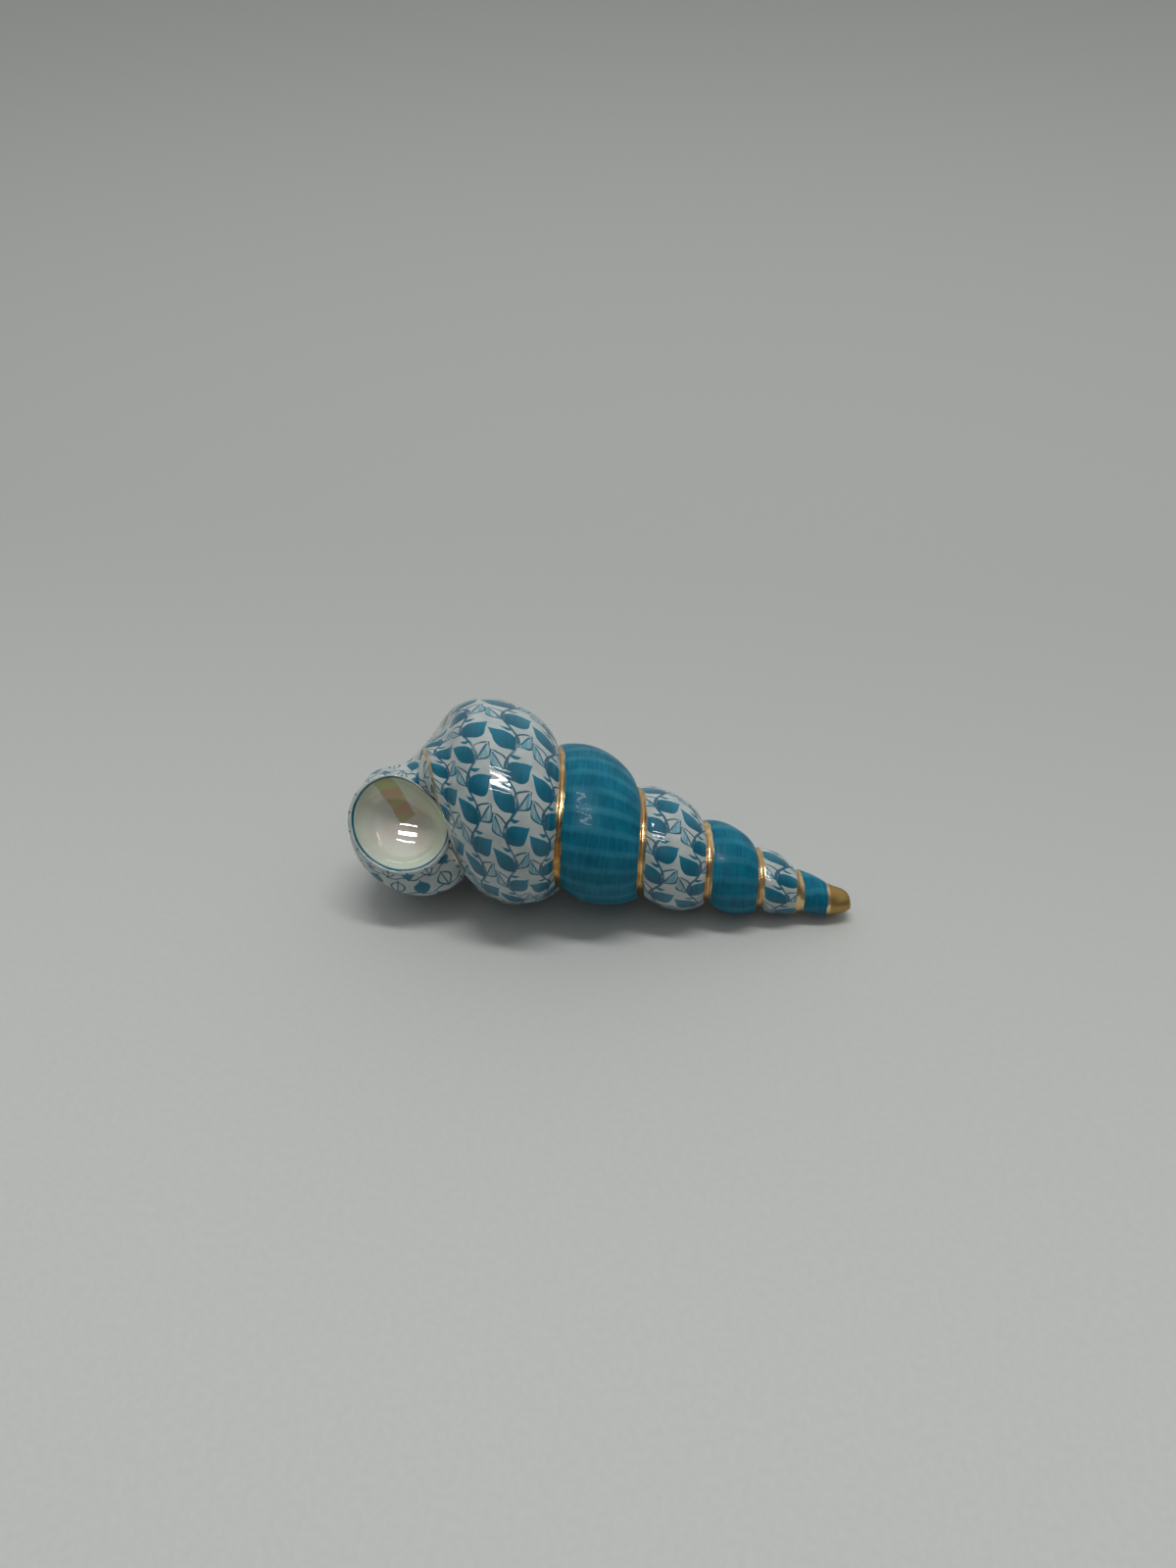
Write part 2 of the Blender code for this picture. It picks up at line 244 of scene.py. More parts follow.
# %% [markdown]
# The surface itself starts as one long flat grid, because a grid already has
# the right order of faces: its length runs along the spiral and its width runs
# from seam to seam. These helpers add a grid and put its points in their places.

# %% Helpers for grids


def outward(turn):
    """Direction away from the axis at this part of a turn, before the shell leans."""
    angle = 2 * math.pi * turn
    return np.array((0.0, -math.cos(angle), math.sin(angle)))


def deselected():
    """Nothing selected, in object mode, as each operator below expects."""
    if bpy.context.object and bpy.context.object.mode != "OBJECT":
        bpy.ops.object.mode_set(mode="OBJECT")
    bpy.ops.object.select_all(action="DESELECT")


def read_all(items, name, kind=float, each=1):
    """What every item holds under this name, as one array."""
    values = np.zeros(len(items) * each, kind)
    items.foreach_get(name, values)
    return values.reshape(-1, each) if each > 1 else values


def add_grid(name, long, wide, places):
    """A grid primitive whose points move to places[row][column]."""
    deselected()
    bpy.ops.mesh.primitive_grid_add(x_subdivisions=long, y_subdivisions=wide, size=1.0)
    piece = bpy.context.object
    piece.name = piece.data.name = name
    flat = read_all(piece.data.vertices, "co", each=3)
    rows = np.rint((flat[:, 0] + 0.5) * long).astype(int)
    columns = np.rint((flat[:, 1] + 0.5) * wide).astype(int)
    piece.data.vertices.foreach_set("co", places[rows, columns].ravel())
    piece.data.update()
    return piece, rows, columns


print("grids ready")

# %% [markdown]
# A Screw modifier would make an even spiral, but this one grows and its last
# turn leaves the axis, so each point of the grid is put in its place by the
# rows above. The middle of the end wall lies to one side, and the tip bends up.

# %% Wind a grid into the spiral
STEPS = 160                 # rows in one turn
ACROSS = 56                 # faces across a row
POLE_SHIFT, POLE_REACH = 3.5, 16.0   # mm, the middle of the end wall moves aside
POLE_TURN = 0.375                    # part of a turn, which way it moves
TIP_LIFT, LIFT_FROM = 0.6, 37.0      # mm, the tip bends up from here

last_row = round(MOUTH_TURN * STEPS)
split_row = last_row - STEPS
pole_row = split_row + STEPS // 2
turns = np.arange(last_row + 1) / STEPS
row_points = []
row_lengths = []
for turn in turns:
    points, length = row(turn, ACROSS)
    row_points.append(points)
    row_lengths.append(length)
row_points = np.array(row_points)
row_lengths = np.array(row_lengths)
outs = np.array([outward(turn) for turn in turns])
places = row_points[:, :, :1] * np.array((1.0, 0.0, 0.0)) + row_points[:, :, 1:] * outs[:, None, :]
fade = np.clip(1.0 - row_points[:, :, 1] / POLE_REACH, 0.0, None) ** 2
fade[:split_row + 1] = 0.0
places += fade[:, :, None] * outward(POLE_TURN) * POLE_SHIFT
lift = np.clip((row_points[:, :, 0] - LIFT_FROM) / (TIP_ALONG - LIFT_FROM), 0.0, 1.0)
places[:, :, 2] += TIP_LIFT * lift ** 2 * (3.0 - 2.0 * lift)
places[:split_row + 1, -1] = places[STEPS:, 0]      # a row ends on the next turn's seam
places[0] = places[1, 0]
ribbon, ribbon_row, ribbon_column = add_grid("shell", last_row, ACROSS, places)
print("ribbon", len(ribbon.data.vertices), "points, longest row", round(row_lengths.max(), 1), "mm")

# %% [markdown]
# A painter works along the turns, so the paint needs numbers that follow them:
# how many turns from the tip, how far across, how far from a gold line, and how
# far along a vine. They are stored at the face corners, where the two sides of
# a seam can hold different numbers.

# %% Guides for the paint on the spiral
CHANGE = 0.62               # part of a turn, behind the shell, where the paint changes
RING_TURN = 7.42            # where the gold line closes round the back of the mouth tube
NECK_LINE = 1.3             # how much thinner the gold is round the mouth tube
VINE_LENGTH = 4.9           # mm, one wave of the vine at the tip
VINE_GROWTH = 0.87          # mm longer with each turn
RIB_SPACING = 3.7           # mm between the shallow ribs
RIB_SLANT = 0.6             # ribs, how far a rib leans from seam to seam
FAR = 99.0                  # mm, stands for no gold line or lip near


def paint_guide(piece, name, values):
    """A number at every face corner, which a material can read by its name."""
    corners = read_all(piece.data.loops, "vertex_index", int)
    guide = piece.data.attributes.new(name, "FLOAT", "CORNER")
    guide.data.foreach_set("value", values[corners].astype(np.float32))


girth = 2 * math.pi * row_points[:, :, 1].max(axis=1)
stride = girth / STEPS
vine = np.cumsum(stride / (VINE_LENGTH + VINE_GROWTH * turns))
ribs = np.cumsum(stride) / RIB_SPACING
share = np.linspace(0.0, 1.0, ACROSS + 1)
across_mm = row_lengths[:, None] * share
to_end = row_lengths[:, None] * (1 - share)
to_end[split_row:pole_row + 1] *= NECK_LINE
to_end[pole_row + 1:] = FAR
to_start = across_mm.copy()
to_start[:STEPS] = FAR
changes = [whole + CHANGE for whole in range(2, 7)] + [RING_TURN]
to_change = np.min([np.abs(turns - change) for change in changes], axis=0) * girth
gold_gap = np.minimum(np.minimum(to_start, to_end), to_change[:, None])

guide_values = {"turn": np.repeat(turns[:, None], ACROSS + 1, 1),
                "across": np.repeat(share[None, :], last_row + 1, 0),
                "across_mm": across_mm,
                "vine": np.repeat(vine[:, None], ACROSS + 1, 1),
                "ribs": ribs[:, None] + RIB_SLANT * share[None, :] ** 2,
                "gold_gap": gold_gap}
for name, values in guide_values.items():
    paint_guide(ribbon, name, values[ribbon_row, ribbon_column])
print("vine waves", round(vine[-1], 1), "ribs", round(ribs[-1]))

# %% [markdown]
# The last turn ends in a short tube with a rounded lip, and the mouth inside
# it is a shallow bowl, pressed flat where the lip meets the body. It grows from
# the open edge of the ribbon: first the crease round the tube, then the last
# row. One function gives a ring of points at any place on the lip or the bowl.

# %% Where the mouth is
MOUTH_ALONG = -35.9         # mm, centre of the mouth
MOUTH_RADIUS_OUT = 7.8
MOUTH_FORWARD = 4.6         # mm from the last row to the lip
MOUTH_OPENING = 9.3         # mm, radius inside the lip
LIP_THICKNESS = 1.1
BODY_SIDE, BODY_SIDE_WIDTH = -65.0, 64.0     # degrees, where the lip meets the body
PRESSED_FLAT, PRESSED_THIN = 0.35, 0.65
BOWL_DEPTH = 6.0
LIP_ARC = math.pi * LIP_THICKNESS / 2        # mm over the lip

facing = outward(MOUTH_TURN + 0.25)
down = outward(MOUTH_TURN)
side = np.array((1.0, 0.0, 0.0))
centre = side * MOUTH_ALONG + down * MOUTH_RADIUS_OUT
edge = np.vstack((places[split_row:pole_row, -1], places[last_row, ::-1]))
edge = np.vstack((edge[:-1], edge[:1]))
arms = edge - centre
angles = np.arctan2(arms @ down, arms @ side)


def ring(inset, lip, height):
    """Points round the mouth; inset 1 is the bowl's middle, lip 1 the outside of the lip."""
    away = (np.degrees(angles) - BODY_SIDE + 180) % 360 - 180
    near = np.exp(-(away / BODY_SIDE_WIDTH) ** 2)
    radius = MOUTH_OPENING * (1 - PRESSED_FLAT * near) * (1 - inset)
    radius = radius + LIP_THICKNESS * (1 - PRESSED_THIN * near) * lip
    spokes = np.cos(angles)[:, None] * side + np.sin(angles)[:, None] * down
    return centre + spokes * radius[:, None] + facing * height


print("mouth at", [round(float(v), 1) for v in centre], "its edge has", len(edge), "points")

# %% [markdown]
# A Spin would need a round edge to start from, and this one isn't. So a second
# grid runs from that edge over the lip and down to the middle of the bowl, and
# its rings grow round on the way.

# %% Mouth tube, lip and bowl
NECK_RINGS, LIP_RINGS, BOWL_RINGS = 10, 12, 26

rings = [edge]
depths = [np.linalg.norm(ring(0, 1, MOUTH_FORWARD) - edge, axis=1) + LIP_ARC]
for step in range(1, NECK_RINGS + 1):
    t = step / NECK_RINGS
    path = ring(0, 1, MOUTH_FORWARD) - edge
    rise = (path @ facing)[:, None] * facing
    rings.append(edge + (path - rise) * smooth_step(t) + rise * t)
    depths.append(depths[0] * (1 - t) + LIP_ARC * t)
for step in range(1, LIP_RINGS + 1):
    bend = math.pi * step / LIP_RINGS
    rings.append(ring(0, 0.5 * (1 + math.cos(bend)),
                      MOUTH_FORWARD + 0.5 * LIP_THICKNESS * math.sin(bend)))
    depths.append(np.full(len(edge), LIP_ARC * (1 - step / LIP_RINGS)))
for step in range(1, BOWL_RINGS + 1):
    bend = 0.5 * math.pi * step / BOWL_RINGS
    rings.append(ring(1 - math.cos(bend), 0, MOUTH_FORWARD - BOWL_DEPTH * math.sin(bend)))
    depths.append(np.full(len(edge), -MOUTH_OPENING * (1 - math.cos(bend))))
rings = np.array(rings)
depths = np.array(depths)
mouth, mouth_row, mouth_column = add_grid("mouth", len(rings) - 1, len(edge) - 1, rings)
print("mouth", rings.shape[0], "rings of", rings.shape[1], "points")

# %% [markdown]
# The paint round the mouth tube runs in rings, so two more guides count how far
# round the mouth and how far behind the lip a corner is. A count that goes
# round a circle jumps where it closes, and no single face may span the jump.

# %% Guides for the paint round the mouth
COLLAR_SPACING = 3.7        # mm between the small leaves round the tube
COLLAR_GUIDE_FROM = 7.2     # turns, before this there is no collar
TUBE_TURN = MOUTH_TURN + 0.1         # turn count on the tube, the lip and the bowl
collar_count = round(2 * math.pi * (MOUTH_OPENING + LIP_THICKNESS) / COLLAR_SPACING)


def around_mouth(points):
    """(part of the way round the mouth, mm behind the lip) of points."""
    from_centre = points - centre
    part = np.arctan2(from_centre @ down, from_centre @ side) / (2 * math.pi)
    return part, MOUTH_FORWARD - from_centre @ facing + LIP_ARC


def close_circle(piece, name, period):
    """Let no face jump from the end of a circle back to its start."""
    held = piece.data.attributes[name].data
    values = read_all(held, "value", np.float32)
    starts = read_all(piece.data.polygons, "loop_start", int)
    totals = read_all(piece.data.polygons, "loop_total", int)
    jumps = np.rint((values - np.repeat(values[starts], totals)) / period)
    held.foreach_set("value", values - period * jumps)


ribbon_part, ribbon_depth = around_mouth(places)
ribbon_depth = np.maximum(ribbon_depth, LIP_ARC)
near_mouth = turns[:, None] > COLLAR_GUIDE_FROM
paint_guide(ribbon, "collar_round",
            np.where(near_mouth, ribbon_part * collar_count, 0.0)[ribbon_row, ribbon_column])
close_circle(ribbon, "collar_round", collar_count)
paint_guide(ribbon, "collar_depth",
            np.where(near_mouth, ribbon_depth, FAR)[ribbon_row, ribbon_column])
mouth_part = np.unwrap(angles) / (2 * math.pi)
crease = np.arange(len(edge)) < pole_row - split_row
from_edge = np.linalg.norm(rings - rings[0], axis=2)
mouth_gold = np.where(crease[None, :], from_edge * NECK_LINE, FAR)
none = np.zeros(rings.shape[:2])
mouth_guides = {"turn": none + TUBE_TURN, "across": none, "across_mm": none,
                "vine": none, "ribs": none, "gold_gap": mouth_gold,
                "collar_round": np.repeat(mouth_part[None, :] * collar_count, len(rings), 0),
                "collar_depth": depths}
for name, values in mouth_guides.items():
    paint_guide(mouth, name, values[mouth_row, mouth_column])
print("leaves round the mouth tube", collar_count)

# %% [markdown]
# The two grids become one skin: joined, with the points on shared seams merged.
# At the very tip the rows crowd together and would fold. Bisect cuts that speck
# off and fills the hole with one small flat face.

# %% Join and merge
MERGE = 0.004               # mm
TIP_CUT = 0.15              # mm, how much of the very tip is cut off and capped

deselected()
mouth.select_set(True)
ribbon.select_set(True)
bpy.context.view_layer.objects.active = ribbon
bpy.ops.object.join()
shell = ribbon
bpy.ops.object.mode_set(mode="EDIT")
bpy.ops.mesh.select_mode(type="VERT")
bpy.ops.mesh.select_all(action="SELECT")
bpy.ops.mesh.remove_doubles(threshold=MERGE)
bpy.ops.mesh.normals_make_consistent(inside=False)
bpy.ops.mesh.select_all(action="SELECT")
bpy.ops.mesh.bisect(plane_co=(TIP_ALONG - TIP_CUT, 0, 0), plane_no=(1, 0, 0), use_fill=True,
                    clear_outer=True, threshold=MERGE / 2)
bpy.ops.object.mode_set(mode="OBJECT")
print("skin", len(shell.data.vertices), "points")

# %% [markdown]
# Slip fills the valleys between the turns of a cast piece, so the points near a
# seam are smoothed a little. A Bevel would cut the valley instead of filling it.

# %% Soften the seams
VALLEY = 0.7                # mm to each side of a seam that the glaze fills
VALLEY_PASSES = 4
VALLEY_FROM = 2.0           # turns, the tip has no valleys


def corner_values(piece, name):
    """A guide's smallest value at each point."""
    corners = read_all(piece.data.loops, "vertex_index", int)
    values = read_all(piece.data.attributes[name].data, "value", np.float32)
    smallest = np.full(len(piece.data.vertices), np.inf)
    np.minimum.at(smallest, corners, values)
    return smallest


def select_points(piece, chosen):
    """Select these points and nothing else, ready for edit mode."""
    for parts in (piece.data.polygons, piece.data.edges):
        parts.foreach_set("select", np.zeros(len(parts), bool))
    piece.data.vertices.foreach_set("select", chosen)


at_seam = (corner_values(shell, "gold_gap") < VALLEY) & (corner_values(shell, "turn") > VALLEY_FROM)
select_points(shell, at_seam)
bpy.ops.object.mode_set(mode="EDIT")
bpy.ops.mesh.vertices_smooth(factor=0.5, repeat=VALLEY_PASSES)
bpy.ops.object.mode_set(mode="OBJECT")
print("softened", int(at_seam.sum()), "points")

# %% [markdown]
# The turns of a wentletrap carry ribs from seam to seam. On the figurine they
# are only low waves under the glaze, and the surface is a little uneven, as
# cast and hand-finished porcelain is. They are real relief here, so that they
# catch the light, and they fade out at the seams and round the mouth.

# %% Low relief, then lean and lay the shell down
RIB_HEIGHT = 0.045          # mm
RIPPLE_HEIGHT = 0.070       # mm, slow unevenness
RIPPLE_SIZE = 7.0           # mm
RELIEF_FADE = 2.0           # mm from a gold line
RIBS_END, RIBS_FADE = 0.2, 0.3       # turns before the mouth
LEAN, AXIS_HEIGHT = 13.95, 13.75     # degrees and mm, how the axis lies
MIDDLE_SHIFT = (-0.55, -1.13)        # mm, brings the middle of the shell over the origin

points = read_all(shell.data.vertices, "co", each=3)
normals = read_all(shell.data.vertices, "normal", each=3)
rib_phase = corner_values(shell, "ribs")
gap = np.clip(corner_values(shell, "gold_gap") / RELIEF_FADE, 0.0, 1.0)
spiral_part = np.clip((MOUTH_TURN - RIBS_END - corner_values(shell, "turn")) / RIBS_FADE, 0.0, 1.0)
slow = np.array([noise.noise(Vector(p) / RIPPLE_SIZE) for p in points])
bowl = corner_values(shell, "collar_depth") < LIP_ARC
relief = RIB_HEIGHT * np.cos(2 * math.pi * rib_phase) * spiral_part + RIPPLE_HEIGHT * slow
relief *= gap * gap * (3 - 2 * gap)
relief[bowl] = 0.0
points = points + normals * relief[:, None]
lean = math.radians(LEAN)
stood = np.empty_like(points)
stood[:, 0] = points[:, 0] * math.cos(lean) + points[:, 2] * math.sin(lean) + MIDDLE_SHIFT[0]
stood[:, 1] = points[:, 1] + MIDDLE_SHIFT[1]
stood[:, 2] = points[:, 2] * math.cos(lean) - points[:, 0] * math.sin(lean) + AXIS_HEIGHT
shell.data.vertices.foreach_set("co", (stood * MM).ravel())
shell.data.update()
print("lowest point before grinding", round(stood[:, 2].min(), 2), "mm")

# %% [markdown]
# The figurine stands on a small flat spot under its widest turn, and a narrower
# turn nearer the tip just touches the floor with a smaller one. Both are taken
# to be ground level after firing and left unglazed. A Boolean could cut them,
# but Bisect is simpler: it cuts the skin at the floor, throws the lower side
# away and fills the holes.

# %% Grind the feet
FLOOR_CATCH = 1e-7          # m
FOOT_TILT = 0.999           # a face that points down this much is a foot
SMOOTH_ANGLE = math.radians(50)

deselected()
shell.select_set(True)
bpy.context.view_layer.objects.active = shell
bpy.ops.object.mode_set(mode="EDIT")
bpy.ops.mesh.select_all(action="SELECT")
bpy.ops.mesh.bisect(plane_co=(0, 0, 0), plane_no=(0, 0, -1), use_fill=True,
                    clear_outer=True, threshold=FLOOR_CATCH)
bpy.ops.object.mode_set(mode="OBJECT")
bpy.ops.object.shade_smooth_by_angle(angle=SMOOTH_ANGLE)
foot_faces = [face.index for face in shell.data.polygons
              if face.normal.z < -FOOT_TILT and abs(face.center.z) < FLOOR_CATCH]
print("foot faces", len(foot_faces), "all faces", len(shell.data.polygons))

# %% [markdown]
# Every finish below is built from small nodes. These helpers keep that short:
# one feeds an input, one adds a node, and the others do a sum.

# %% Helpers for nodes and sums


def feed(tree, socket, value):
    """Link a socket to this input, or set its value."""
    if isinstance(value, bpy.types.NodeSocket):
        tree.links.new(value, socket)
    else:
        socket.default_value = value


def node(tree, kind, *inputs, **settings):
    """Add a shader node and feed its inputs in order. None leaves an input as it is."""
    made = tree.nodes.new("ShaderNode" + kind)
    for name, value in settings.items():
        setattr(made, name, value)
    for socket, value in zip(made.inputs, inputs):
        if value is not None:
            feed(tree, socket, value)
    return made


def maths(tree, operation, *values):
    """The result of one sum."""
    return node(tree, "Math", *values, operation=operation).outputs[0]


def plus(tree, first, second):
    """One value plus another."""
    return maths(tree, "ADD", first, second)


def minus(tree, first, second):
    """One value minus another."""
    return maths(tree, "SUBTRACT", first, second)


def times(tree, first, second):
    """One value times another."""
    return maths(tree, "MULTIPLY", first, second)


print("sums ready")

# %% [markdown]
# Paint needs masks with soft edges, colours laid over each other, and noise.
# A hard edge from Greater Than would show steps, so most masks are soft steps.

# %% Helpers for masks, colours and noise


def between(tree, value, low, high):
    """Soft step: 0 below low, 1 above high (or the other way round)."""
    made = node(tree, "MapRange", value, low, high, 0.0, 1.0, interpolation_type="SMOOTHSTEP")
    return made.outputs[0]


def brush_line(tree, distance, widths):
    """A painted line. Its two widths are from the line's middle: full paint, no paint."""
    return between(tree, maths(tree, "ABSOLUTE", distance), widths[1], widths[0])


def blend_colour(tree, mask, below, above):
    """One colour over another."""
    made = node(tree, "Mix", data_type="RGBA")
    for name, value in (("Factor_Float", mask), ("A_Color", below), ("B_Color", above)):
        feed(tree, next(s for s in made.inputs if s.identifier == name), value)
    return next(s for s in made.outputs if s.identifier == "Result_Color")


def guide(tree, name):
    """A paint guide of the shell."""
    return node(tree, "Attribute", attribute_name=name).outputs["Fac"]


def noise_at(tree, place, scale, detail=2.0, rough=0.5):
    """Noise around 0.5 at this place."""
    made = node(tree, "TexNoise", place, noise_dimensions="3D")
    for name, value in (("Scale", scale), ("Detail", detail), ("Roughness", rough)):
        made.inputs[name].default_value = value
    return made.outputs["Fac"]


def moved(tree, place, shift):
    """Another place, so that a second noise differs from the first."""
    return node(tree, "Mapping", place, shift).outputs[0]


print("masks, colours and noise ready")

# %% [markdown]
# A material and a node group start in the same way each time, so that is a
# helper too. A group has named inputs and outputs, made through its interface.

# %% Helpers for materials and groups


def new_finish(name):
    """A new material with its tree, its shader and the place on the piece."""
    made = bpy.data.materials.new(name)
    made.use_nodes = True
    tree = made.node_tree
    return made, tree, tree.nodes["Principled BSDF"], node(tree, "TexCoord").outputs["Object"]


def set_shader(tree, shader, values):
    """Feed the shader's inputs by name."""
    for name, value in values.items():
        feed(tree, shader.inputs[name], value)


def new_group(name, inputs, outputs):
    """An empty node group with these inputs and outputs, all numbers but Normal."""
    group = bpy.data.node_groups.new(name, "ShaderNodeTree")
    for sockets, way in ((inputs, "INPUT"), (outputs, "OUTPUT")):
        for socket in sockets:
            kind = "NodeSocketVector" if socket == "Normal" else "NodeSocketFloat"
            group.interface.new_socket(socket, in_out=way, socket_type=kind)
    return group, group.nodes.new("NodeGroupInput").outputs, group.nodes.new("NodeGroupOutput").inputs


def use_group(tree, group, **values):
    """The outputs of a group placed in a tree, with its inputs fed."""
    made = tree.nodes.new("ShaderNodeGroup")
    made.node_tree = group
    for name, value in values.items():
        feed(tree, made.inputs[name], value)
    return made.outputs


print("materials and groups ready")

# %% [markdown]
# A fired glaze is never quite flat: it has a faint orange-peel skin. The white
# and painted parts, the pearl and the gold all lie in or on it, so the effect
# is a node group that each material uses at its own strength.

# %% Group: glaze skin
SKIN_HEIGHT = 0.0002        # m
SKIN_FINE, SKIN_SLOW = 620.0, 130.0          # waves in a metre
FINE_SHARE = 0.35

skin, skin_in, skin_out = new_group("glaze skin", ["Strength"], ["Normal"])
place = node(skin, "TexCoord").outputs["Object"]
fine = noise_at(skin, place, SKIN_FINE, 2.0)
slow_wave = noise_at(skin, place, SKIN_SLOW, 1.0)
bump = node(skin, "Bump", skin_in["Strength"], SKIN_HEIGHT)
feed(skin, bump.inputs["Height"], maths(skin, "MULTIPLY_ADD", fine, FINE_SHARE, slow_wave))
feed(skin, skin_out["Normal"], bump.outputs["Normal"])
print("group", skin.name)

# %% [markdown]
# Paint laid with a full brush shows streaks along the stroke, and pools where
# the brush slowed. On the solid turns the strokes run round the shell, so the
# streak noise is squeezed across the turn. The pools reach from seam to seam,
# so theirs is stretched across it.

# %% Group: brush streaks
STREAK_SCALE = (0.6, 2.2)   # waves along and across the turn
POOL_SCALE = (0.9, 0.22)

streaks, streaks_in, streaks_out = new_group("brush streaks", ["Along", "Across"], ["Streak", "Pool"])
for name, (along_scale, across_scale), detail, rough in (("Streak", STREAK_SCALE, 3.0, 0.6),
                                                         ("Pool", POOL_SCALE, 2.0, 0.5)):
    stroke = node(streaks, "CombineXYZ", times(streaks, streaks_in["Along"], along_scale),
                  times(streaks, streaks_in["Across"], across_scale)).outputs[0]
    feed(streaks, streaks_out[name], noise_at(streaks, stroke, 1.0, detail, rough))
print("group", streaks.name)

# %% [markdown]
# The painted leaves are all one shape, at other sizes and angles: egg-shaped,
# broad near the stalk, with both ends drawn to a point. A picture of a leaf
# would blur close up, so the shape is worked out. The group's Edge is the
# distance to the leaf's outline in mm, less than zero inside it.

# %% Group: leaf
LEAF_TAPER = -0.32          # how much narrower the outer half is
LEAF_POINT = 1.3            # more than 1 draws the ends to a point
BEYOND_ENDS = 5.0           # mm added to the distance beyond the two ends

leaf, leaf_in, leaf_out = new_group(
    "leaf", ["X", "Y", "Base X", "Base Y", "Angle", "Length", "Width"], ["Edge", "Along", "Side"])
dx = minus(leaf, leaf_in["X"], leaf_in["Base X"])
dy = minus(leaf, leaf_in["Y"], leaf_in["Base Y"])
sine = maths(leaf, "SINE", leaf_in["Angle"])
cosine = maths(leaf, "COSINE", leaf_in["Angle"])
forward = plus(leaf, times(leaf, dx, sine), times(leaf, dy, cosine))
sideways = minus(leaf, times(leaf, dx, cosine), times(leaf, dy, sine))
along_leaf = maths(leaf, "DIVIDE", forward, leaf_in["Length"])
middle = maths(leaf, "MULTIPLY_ADD", along_leaf, 2.0, -1.0)
belly = minus(leaf, 1.0, times(leaf, middle, middle))
belly = times(leaf, belly, maths(leaf, "MULTIPLY_ADD", middle, LEAF_TAPER, 1.0))
belly = maths(leaf, "POWER", maths(leaf, "MAXIMUM", belly, 0.0), LEAF_POINT)
half_width = times(leaf, times(leaf, leaf_in["Width"], 0.5), belly)
outside_ends = maths(leaf, "MAXIMUM", minus(leaf, maths(leaf, "ABSOLUTE", middle), 1.0), 0.0)
to_outline = minus(leaf, maths(leaf, "ABSOLUTE", sideways), half_width)
feed(leaf, leaf_out["Edge"], maths(leaf, "MULTIPLY_ADD", outside_ends, BEYOND_ENDS, to_outline))
feed(leaf, leaf_out["Along"], along_leaf)
feed(leaf, leaf_out["Side"], sideways)
print("group", leaf.name)

# %% [markdown]
# The white turns carry a scrolling vine, a common traditional ornament. One
# half wave of the stem holds a solid leaf, a very small one and an outlined
# leaf with one half tinted, and the next half wave is its mirror image. Only
# that half wave is drawn, and it repeats in columns across the turn. The group
# is told the column and the wave. Inside it, one column is COLUMN_WIDTH wide
# and one wave WAVE_LENGTH long, so that the leaves keep their shape.

# %% Group: vine
COLUMN_WIDTH, WAVE_LENGTH = 7.0, 11.0        # mm
COLUMN_SHIFT = 0.37                          # waves between neighbouring columns
STEM_SWING = 1.15                            # mm to each side
STEM_LINE = (0.19, 0.33)                     # mm from the middle: full paint, no paint
OUTLINE, VEIN = (0.12, 0.28), (0.07, 0.22)   # the same for a leaf's outline and its vein
EDGE_SOFT = 0.14                             # mm, how soft a painted edge is
SOLID_LEAF = {"Base X": 0.75, "Base Y": 0.9, "Angle": math.radians(-48), "Length": 5.7, "Width": 3.5}
LINE_LEAF = {"Base X": 1.1, "Base Y": 1.7, "Angle": math.radians(30), "Length": 4.7, "Width": 2.9}
SMALL_LEAF = {"Base X": 0.2, "Base Y": 5.15, "Angle": math.radians(-78), "Length": 2.0, "Width": 0.9}

vines, vines_in, vines_out = new_group("vine", ["Column", "Wave"], ["Line", "Leaf", "Tint", "Shade"])
number = maths(vines, "FLOOR", vines_in["Column"])
column = minus(vines, maths(vines, "FRACT", vines_in["Column"]), 0.5)
wave = maths(vines, "MULTIPLY_ADD", number, COLUMN_SHIFT, vines_in["Wave"])
half_waves = times(vines, wave, 2.0)
odd = maths(vines, "FLOORED_MODULO", maths(vines, "FLOOR", half_waves), 2.0)
mirror = maths(vines, "MULTIPLY_ADD", odd, -2.0, 1.0)
x = times(vines, times(vines, column, mirror), COLUMN_WIDTH)
y = times(vines, maths(vines, "FRACT", half_waves), WAVE_LENGTH / 2)
stem = times(vines, maths(vines, "SINE", times(vines, y, 2 * math.pi / WAVE_LENGTH)), STEM_SWING)
stem_line = brush_line(vines, minus(vines, x, stem), STEM_LINE)

solid_leaf, small_leaf, line_leaf = [use_group(vines, leaf, X=x, Y=y, **sizes)
                                     for sizes in (SOLID_LEAF, SMALL_LEAF, LINE_LEAF)]
solid, small, inside_leaf = [between(vines, drawn["Edge"], EDGE_SOFT, 0.0)
                             for drawn in (solid_leaf, small_leaf, line_leaf)]
vein_reach = times(vines, between(vines, line_leaf["Along"], 0.0, 0.05),
                   between(vines, line_leaf["Along"], 0.85, 0.8))
vein = times(vines, brush_line(vines, line_leaf["Side"], VEIN), vein_reach)
outline = brush_line(vines, line_leaf["Edge"], OUTLINE)
tinted_half = between(vines, line_leaf["Side"], 0.0, 0.10)
feed(vines, vines_out["Line"],
     maths(vines, "MAXIMUM", maths(vines, "MAXIMUM", stem_line, outline), vein))
feed(vines, vines_out["Leaf"], maths(vines, "MAXIMUM", solid, small))
feed(vines, vines_out["Tint"], times(vines, inside_leaf, tinted_half))
feed(vines, vines_out["Shade"], solid_leaf["Along"])
print("group", vines.name)

# %% [markdown]
# Round the mouth tube runs a border of small leaves that point away from the
# mouth, row behind row, each row shifted by half a leaf. Every second leaf is
# filled, and a wavy garland line runs along each row. The group reads how far
# round the mouth and how far behind the lip each spot is.

